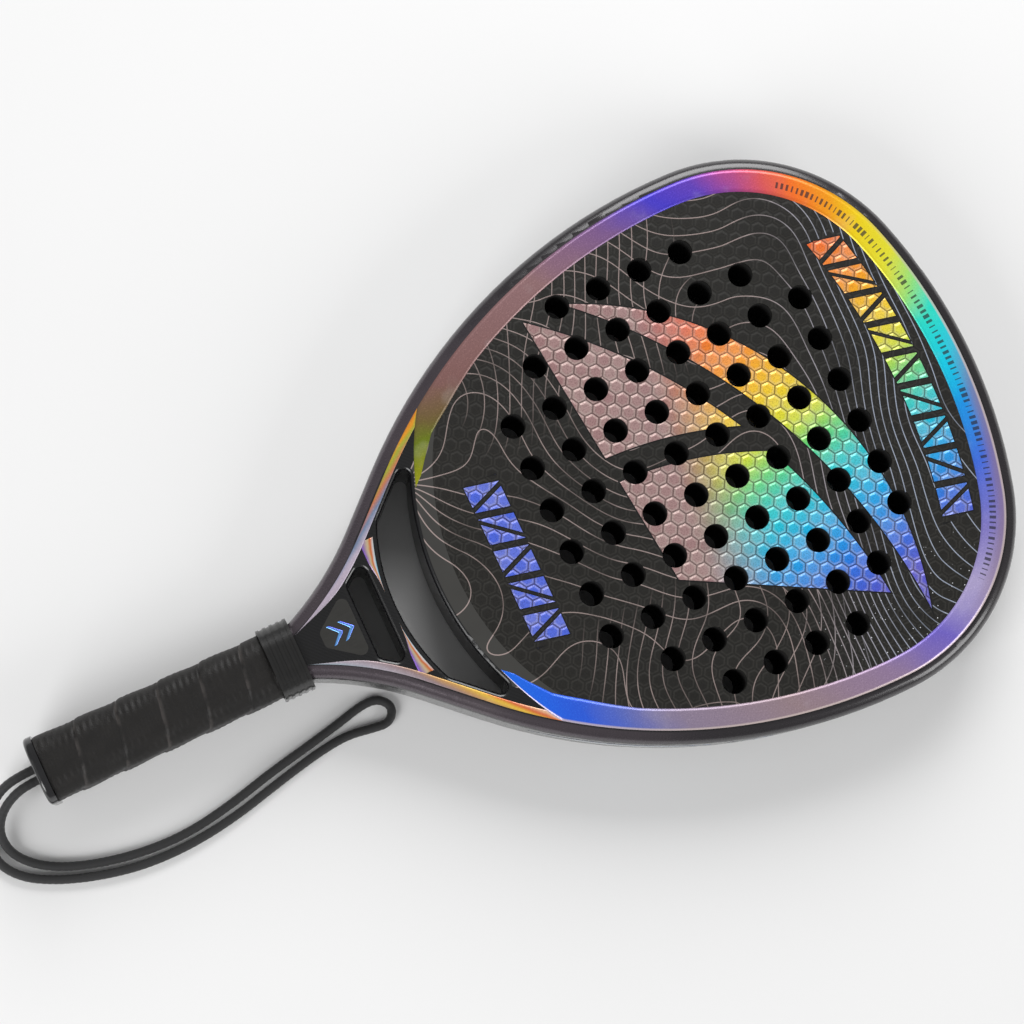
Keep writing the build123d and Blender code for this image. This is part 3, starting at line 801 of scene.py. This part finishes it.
# glossCarbon carries the painted sheen; plainGloss has none
glossCarbon = makeGlossMaterial("glossCarbon", 1.0)
plainGloss = makeGlossMaterial("plainGloss", 0.0)
bandFoil = makeBandMaterial("bandFoil", bandStops, True)
armFoil = makeBandMaterial("armFoil", armStops, False)
blackFoam = makeFoamMaterial()
badgeGraphite = makeBadgeMaterial()
gripTape = makeGripMaterial()
collarRubber = makeRubberMaterial("collarRubber", (0.006, 0.006, 0.006), (0.012, 0.0115, 0.011), 0.26, 0.35)
capPlastic = makeRubberMaterial("capPlastic", (0.007, 0.007, 0.008), (0.013, 0.013, 0.014), 0.16, 0.6)
cordBraid = makeCordMaterial()
# the white stop is a painted highlight along the spike's edge, between the foil's blue and orange
spikeStopsAndHighlight = ((0.0, (60, 130, 240)), (0.22, (90, 200, 235)), (0.38, (250, 250, 250)), (0.55, (240, 120, 40)),
              (0.72, (236, 214, 170)), (1.0, (150, 110, 210)))
bladeStops = ((0.0, (52, 66, 92)), (0.35, (126, 150, 166)), (0.55, (196, 206, 200)), (0.8, (90, 110, 150)),
              (1.0, (40, 44, 66)))
emblemStops = ((0.0, (70, 120, 235)), (0.5, (120, 190, 245)), (1.0, (80, 90, 225)))
spikeFoil = makeDecalMaterial("spikeFoil", spikeStopsAndHighlight, 0.55)
bladeFoil = makeDecalMaterial("bladeFoil", bladeStops, 0.6)
emblemFoil = makeDecalMaterial("emblemFoil", emblemStops, 0.5)

for name, material in (
    ("frame_tube", glossCarbon), ("control_bar", plainGloss), ("throat_web", plainGloss),
    ("throat_bow", bowCarbon), ("front_face", faceCarbon), ("back_face", backCarbon),
    ("core_slab", blackFoam), ("rim_foam", blackFoam), ("handle_foam", blackFoam),
    ("handle_pallet", glossCarbon), ("base_grip", gripTape), ("butt_cap", capPlastic),
    ("grip_collar", collarRubber), ("cord_knot", cordBraid), ("badge_front", badgeGraphite),
    ("badge_back", badgeGraphite),
):
    nodes[name].data.materials.clear()
    nodes[name].data.materials.append(material)
print("materials made")


# wrist cord

cordSet = {
    # distance ahead of the butt, distance to the left, height
    "route": (
        (4.0, 2.5, 19.0), (-7.5, 2.5, 19.0), (-18.0, 0.5, 15.5), (-26.5, -5.5, 8.5), (-32.5, -15.0, 3.0),
        (-33.0, -26.5, 2.1), (-26.5, -36.5, 2.1), (-14.5, -44.0, 2.1), (3.0, -50.5, 2.1), (24.0, -55.0, 2.1),
        (46.5, -55.5, 2.1), (69.5, -52.5, 2.1), (92.0, -47.0, 2.1), (112.5, -42.5, 2.1), (128.5, -40.5, 2.1),
        (140.5, -42.5, 2.1), (148.5, -43.5, 2.1), (153.0, -37.5, 2.1), (148.5, -31.5, 2.1), (140.5, -31.0, 2.1),
        (128.5, -34.0, 2.1), (112.0, -37.5, 2.1), (91.0, -41.5, 2.1), (69.0, -47.0, 2.1), (46.5, -50.5, 2.1),
        (25.0, -49.5, 2.1), (5.5, -45.5, 2.1), (-9.5, -40.0, 2.1), (-19.5, -33.5, 2.1), (-26.0, -25.0, 3.0),
        (-26.5, -15.5, 6.5), (-21.0, -8.0, 12.0), (-12.0, -3.5, 17.0), (-3.0, -2.5, 19.0), (4.0, -2.5, 19.0),
    ),
    "butt": -227.5,
    "length": 0.494,
    "diameter": 4.2,
    "plait": 5.2,
    "strands": 4,
    "relief": 0.035,
    "steps": 1400,
    "columns": 24,
}


def cordPath(look):
    # the route's NURBS curve as evenly spaced points
    data = bpy.data.curves.new("cordRoute", "CURVE")
    data.dimensions = "3D"
    route = (np.array(look["route"]) + (look["butt"], 0, 0)) * mm
    spline = data.splines.new("NURBS")
    spline.points.add(len(route) - 1)
    spline.points.foreach_set("co", np.column_stack([route, np.ones(len(route))]).ravel())
    spline.order_u = 3
    spline.use_endpoint_u = True
    spline.resolution_u = 24
    curve = bpy.data.objects.new("cordRoute", data)
    scene.collection.objects.link(curve)
    bpy.context.view_layer.update()
    mesh = bpy.data.meshes.new_from_object(curve)
    points = np.zeros(len(mesh.vertices) * 3)
    mesh.vertices.foreach_get("co", points)
    bpy.data.objects.remove(curve)
    points = points.reshape(-1, 3) / mm
    run = np.concatenate([[0], np.cumsum(np.linalg.norm(np.diff(points, axis=0), axis=1))])
    even = np.linspace(0, run[-1], look["steps"])
    return np.column_stack([np.interp(even, run, points[:, k]) for k in range(3)]), even


def makeCord(look):
    # a tube round the path; its radius swells where two opposite helices cross, as in a plait
    path, along = cordPath(look)
    ahead = np.gradient(path, axis=0)
    ahead /= np.linalg.norm(ahead, axis=1, keepdims=True)
    side = np.cross((0, 0, 1.0), ahead)
    side /= np.linalg.norm(side, axis=1, keepdims=True)
    over = np.cross(ahead, side)
    around = np.linspace(0, 2 * math.pi, look["columns"], endpoint=False)
    turn = 2 * math.pi * along[:, None] / look["plait"]
    weave = np.sin(look["strands"] * around + turn) * np.sin(look["strands"] * around - turn)
    radius = look["diameter"] / 2 * (1 - look["relief"] + look["relief"] * weave)
    ring = side[:, None] * np.cos(around)[:, None] + over[:, None] * np.sin(around)[:, None]
    grid = path[:, None] + ring * radius[..., None]
    uv = np.stack(np.broadcast_arrays(along[:, None] / along[-1], around / (2 * math.pi)), -1)
    faces = gridFaces(len(path), len(around), False, True)
    points = np.concatenate([grid.reshape(-1, 3), path[:1], path[-1:]])
    last, count = len(path) - 1, len(around)
    ringStart = np.arange(count)
    ends = [np.stack([np.full(count, count * (last + 1)), np.roll(ringStart, -1), ringStart], -1),
            np.stack([np.full(count, count * (last + 1) + 1), last * count + ringStart,
                      last * count + np.roll(ringStart, -1)], -1)]
    return points, faces, ends, np.concatenate([uv.reshape(-1, 2), uv[0, :1], uv[-1, :1]]), path


def makeCordPiece(look):
    points, faces, ends, uv, path = makeCord(look)
    polygons = faces.tolist() + ends[0].tolist() + ends[1].tolist()
    piece = makeMesh("wristCord", points, polygons, cordBraid, uv)
    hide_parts("wrist_cord")
    return piece


makeCordPiece(cordSet)
print("cord made")


# pieces

def weld(piece):
    # joins corners that fall in one place, so that pointed ends close
    shape = bmesh.new()
    shape.from_mesh(piece.data)
    bmesh.ops.remove_doubles(shape, verts=shape.verts, dist=2e-6)
    bmesh.ops.recalc_face_normals(shape, faces=shape.faces)
    shape.to_mesh(piece.data)
    shape.free()
    return piece


def closedSheet(name, material, front, back, uv):
    # joins a visible side with the hidden side behind it; the two meet at the ends
    rows = np.arange(len(front))
    taper = np.minimum(1, np.minimum(rows, rows[::-1]) / 2)[:, None, None]
    behind = front + (back - front) * taper
    grid = np.concatenate([front, behind[:, ::-1]], 1)
    return weld(gridMesh(name, grid, material, np.concatenate([uv, uv[:, ::-1]], 1)))


foilThick = 0.25      # millimetres


def ribbon(name, material, x, y, z, uv, face):
    # a foil strip that lies on the front (face 1) or the back (face -1)
    front = np.stack([x, y, z], -1)
    piece = closedSheet(name, material, front, front - (0, 0, face * foilThick), uv)
    return piece


def heightOver(x, face, lift):
    # height of a strip lifted off the front (face 1) or the back (face -1)
    half = outlineSet["thick"] / 2
    return half + face * (topHeight(x) - half + lift)


bandSet = {
    "outer": 6.0,
    "innerPlace": (-26.5, -12.0, -1.0, 20.0, 130.0, 200.0),
    "inner": (21.0, 17.0, 17.0, 15.6, 15.6, 17.4),
    "endCircle": (105.5, 140.0),       # middle and radius of the head's rounded throat end
    "lift": 0.05,
    "halfWay": 458.4,      # length round from the tip that the colours run over
    "measured": 15.5,      # inset at which the inner edge's places along the racket are read
    "linePast": 3.2,
    "lineEnd": -103.0,
    "lineFade": 30,
    "lineRead": 7.5,
}


def throatInset(along, look):
    # how far in from the outline the throat-end circle is met: the nearer root of a quadratic
    x0, y0 = outlineAt(along, 0.0)
    x1, y1 = outlineAt(along, 1.0)
    nx, ny = x1 - x0, y1 - y0
    middle, radius = look["endCircle"]
    b = (x0 - middle) * nx + y0 * ny
    c = (x0 - middle) ** 2 + y0 ** 2 - radius ** 2
    inside = np.maximum(b ** 2 - c, 0)
    return np.where(c > 0, np.where(b ** 2 > c, -b - np.sqrt(inside), 1e3), 0.0)


def bandInner(along, look):
    return np.interp(outlineAt(along, look["measured"])[0], look["innerPlace"], look["inner"])


def makeBands(look):
    dense = np.linspace(200.0, halfRound - 1, 6000)
    meets = throatInset(dense, look)
    headEnd = dense[meets <= bandInner(dense, look)].max()
    lineStart = dense[meets <= look["outer"]].max()
    lineEnd = dense[outlineAt(dense, look["lineRead"])[0] >= look["lineEnd"]].max()
    fraction = np.linspace(0, 1, 7)[None, :]

    def spread(along, outer, inner):
        inset = outer[:, None] + (inner - outer)[:, None] * fraction
        x, y = outlineAt(along[:, None] * np.ones_like(inset), inset)
        return x, y, together((along[:, None] / look["halfWay"] + 1) / 2, fraction)

    for face, label, node in ((1, "Front", "rim_foil_front"), (-1, "Back", "rim_foil_back")):
        along = np.linspace(-headEnd, headEnd, 1500)
        inner = bandInner(np.abs(along), look)
        outer = np.minimum(np.maximum(look["outer"], throatInset(np.abs(along), look)), inner)
        x, y, uv = spread(along, outer, inner)
        band = ribbon("rimBand" + label, bandFoil, x, y, heightOver(x, face, look["lift"]), uv, face)
        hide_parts(node)
        for side in (-1, 1):
            far = np.linspace(lineStart, lineEnd, 260)
            fade = 1 - smoothStep(lineEnd - look["lineFade"], lineEnd, far)
            inner = np.minimum(look["outer"] + look["linePast"] * fade, throatInset(far, look))
            x, y, uv = spread(side * far, np.full(len(far), look["outer"]), inner)
            name = "armLine" + label + ("Left" if side > 0 else "Right")
            ribbon(name, armFoil, x, y, heightOver(x, face, look["lift"]), uv, face)


barSet = {
    "arc": (36.0, 95.0),
    "behind": -60.3,
    "from": 6.5,
    "to": 32.0,
    "lift": 0.04,
    "gap": 0.35,      # bare edge left in front of the spike
    "widens": 16,     # distance over which the point grows to its full width
}


def makeBarDecals(look):
    # a spike between an arc and a straight line, pointed near the middle of the bar
    middle, radius = look["arc"]
    across = np.linspace(0, 1, 6)[None, :]
    for face in (1, -1):
        for side in (1, -1):
            away = np.linspace(look["from"], look["to"], 60)[:, None]
            part = smoothStep(look["from"], look["from"] + look["widens"], away)
            front = middle - np.sqrt(radius ** 2 - away ** 2) - look["gap"]
            back = front + (look["behind"] - front) * part
            x = front + (back - front) * across
            y = side * away * np.ones_like(x)
            uv = together((away - look["from"]) / (look["to"] - look["from"]), across)
            ribbon("barSpike", spikeFoil, x, y, heightOver(x, face, look["lift"]), uv, face)


sideSet = {
    # place round from the tip where it starts and ends, height in the wall's middle, half width
    "blades": ((268.0, 352.0, 20.0, 6.4), (240.0, 262.0, 19.0, 4.6), (188.0, 212.0, 20.0, 5.0),
               (132.0, 150.0, 20.0, 4.2), (82.0, 96.0, 20.0, 3.4)),
    "lift": 0.05,
    "sink": 0.2,
}


def makeSideDecals(look):
    # leaf-shaped strips that lie on the frame's upright outer wall
    for side in (1, -1):
        for start, end, high, half in look["blades"]:
            part = np.linspace(0, 1, 50)[:, None]
            across = np.linspace(-1, 1, 6)[None, :]
            wide = half * np.sin(math.pi * part) ** 0.7 * (1 - 0.35 * part)
            along = side * (start + (end - start) * part) * np.ones_like(across)
            x, y = outlineAt(along, -look["lift"])
            z = high + across * wide + (part - 0.5) * 3
            front = together(x, y, z)
            back = together(*outlineAt(along, look["sink"]), z)
            piece = closedSheet("sideBlade", bladeFoil, front, back, together(part, (across + 1) / 2))


gripSet = {
    "from": -223.4,
    "to": -112.0,
    "half": (14.8, 16.8),
    "corner": 9.8,
    "middle": 19.0,
    "pitch": 19.5,
    "step": 0.70,
    "ripple": 0.10,
    "wave": 0.12,
    "edge": 0.075,       # share of a turn over which the lapped edge rises
    "inside": 1.15,      # how far in the hidden inner side lies
    "sink": 0.15,
    "rows": 430,
    "columns": 144,
    "hiddenEvery": 40,
}


def makeGrip(look):
    # rounded-rectangle loops; the tape's radius rises slowly over each turn of the helix and drops at its edge
    corner = look["corner"]
    cores = (look["half"][0] - corner, look["half"][1] - corner)
    arc = np.linspace(0, math.pi / 2, 15)
    turn, coreY, coreZ = [], [], []
    for quarter, (sy, sz) in enumerate(((1, 1), (-1, 1), (-1, -1), (1, -1))):
        turn.append(arc + quarter * math.pi / 2)
        coreY.append(np.full(15, sy * cores[0]))
        coreZ.append(np.full(15, sz * cores[1]))
    turn, coreY, coreZ = np.concatenate(turn), np.concatenate(coreY), np.concatenate(coreZ)
    ring = np.stack([coreY + corner * np.cos(turn), coreZ + corner * np.sin(turn)], -1)
    span = np.linalg.norm(np.roll(ring, -1, 0) - ring, axis=1)
    run = np.concatenate([[0], np.cumsum(span)])
    even = np.linspace(0, run[-1], look["columns"], endpoint=False)

    def around(values):
        return np.interp(even, run, np.append(values, values[0]))

    y0, z0 = around(ring[:, 0]), around(ring[:, 1])
    ny, nz = around(np.cos(turn)), around(np.sin(turn))
    size = np.hypot(ny, nz)
    ny, nz = ny / size, nz / size
    phase = even / run[-1]
    x = np.linspace(look["from"], look["to"], look["rows"])[:, None]
    lap = (x - look["from"]) / look["pitch"] + phase[None, :]
    part = lap - np.floor(lap)
    rise = smoothStep(0, look["edge"], part) * (1 - 0.55 * smoothStep(0.05, 1.0, part))
    # shallow wrinkles: a fine ripple that fades in and out round the handle, over a slow wave
    angle = 2 * math.pi * phase[None, :]
    ripple = np.sin(2.1 * x + 5 * np.sin(angle)) * np.sin(4.5 * angle + 0.13 * x)
    wrinkle = look["ripple"] * ripple + look["wave"] * np.sin(0.31 * x + 3 * angle)
    offset = look["step"] * (rise - 1.0) + wrinkle - look["sink"]
    hidden = slice(None, None, -look["hiddenEvery"])
    outer = together(x, y0 + ny * offset, look["middle"] + z0 + nz * offset)
    inner = together(x[hidden], y0 - look["inside"] * ny, look["middle"] + z0 - look["inside"] * nz)
    uv = together(phase, lap)
    piece = weld(gridMesh("handleGrip", np.concatenate([outer, inner]), gripTape,
                          np.concatenate([uv, uv[hidden]]), closedRows=True))
    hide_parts("overgrip")
    return piece


emblemSet = {
    "place": -84.6,
    "pitch": 5.4,
    "reach": 4.6,
    "bar": 2.1,
    "lift": 0.04,
}


def makeEmblem(look):
    # two slim chevrons that point to the head, on the solid part of the throat
    for face in (1, -1):
        for k in (0, 1):
            across = np.linspace(-1, 1, 41)[:, None]
            tip = look["place"] + k * look["pitch"] - np.abs(across) * look["reach"] * 0.9
            wide = look["bar"] * (1 - 0.45 * np.abs(across))
            through = np.linspace(0, 1, 4)[None, :]
            x = tip + wide * through
            y = across * look["reach"] * np.ones_like(x)
            uv = together((across + 1) / 2, through)
            ribbon("throatEmblem", emblemFoil, x, y, heightOver(x, face, look["lift"]), uv, face)


makeBands(bandSet)
makeBarDecals(barSet)
makeSideDecals(sideSet)
makeGrip(gripSet)
makeEmblem(emblemSet)
print("pieces made")


# floor and light

stageSet = {
    "floor": 6.0,
    "down": -0.1,      # millimetres, just under the foil on the back
    "floorColor": (0.80, 0.80, 0.80),
    "sky": 0.26,
    # place, size, power
    "soft": (((0.75, 1.25, 1.0), 1.1, 27.0), ((-1.3, -0.5, 0.9), 0.9, 16.0), ((0.9, -1.3, 0.8), 0.8, 12.0)),
}


def makeStage(look):
    half = look["floor"] / 2
    mesh = bpy.data.meshes.new("floor")
    down = look["down"] * mm
    mesh.from_pydata([(-half, -half, down), (half, -half, down), (half, half, down), (-half, half, down)], [],
                     [(0, 1, 2, 3)])
    material, tree, shader = newMaterial("floorPaper", Roughness=0.8)
    tone = noise(tree, placeInMm(tree), 0.01, 2)
    pale = look["floorColor"]
    feed(shader, "Base Color", mixColor(tree, tone, tuple(c * 0.985 for c in pale), pale))
    mesh.materials.append(material)
    floor = bpy.data.objects.new("floor", mesh)
    scene.collection.objects.link(floor)
    world = bpy.data.worlds.new("softSky")
    world.use_nodes = True
    background = world.node_tree.nodes["Background"]
    feed(background, "Color", (1.0, 1.0, 1.0, 1))
    feed(background, "Strength", look["sky"])
    scene.world = world
    scene.view_settings.view_transform = "Standard"
    for k, (place, size, power) in enumerate(look["soft"]):
        data = bpy.data.lights.new("soft" + str(k), "AREA")
        data.shape = "SQUARE"
        data.size = size
        data.energy = power
        lamp = bpy.data.objects.new("soft" + str(k), data)
        lamp.location = place
        lamp.rotation_euler = (Vector(place) - Vector((0, 0, 0.02))).to_track_quat("Z", "Y").to_euler()
        scene.collection.objects.link(lamp)


makeStage(stageSet)
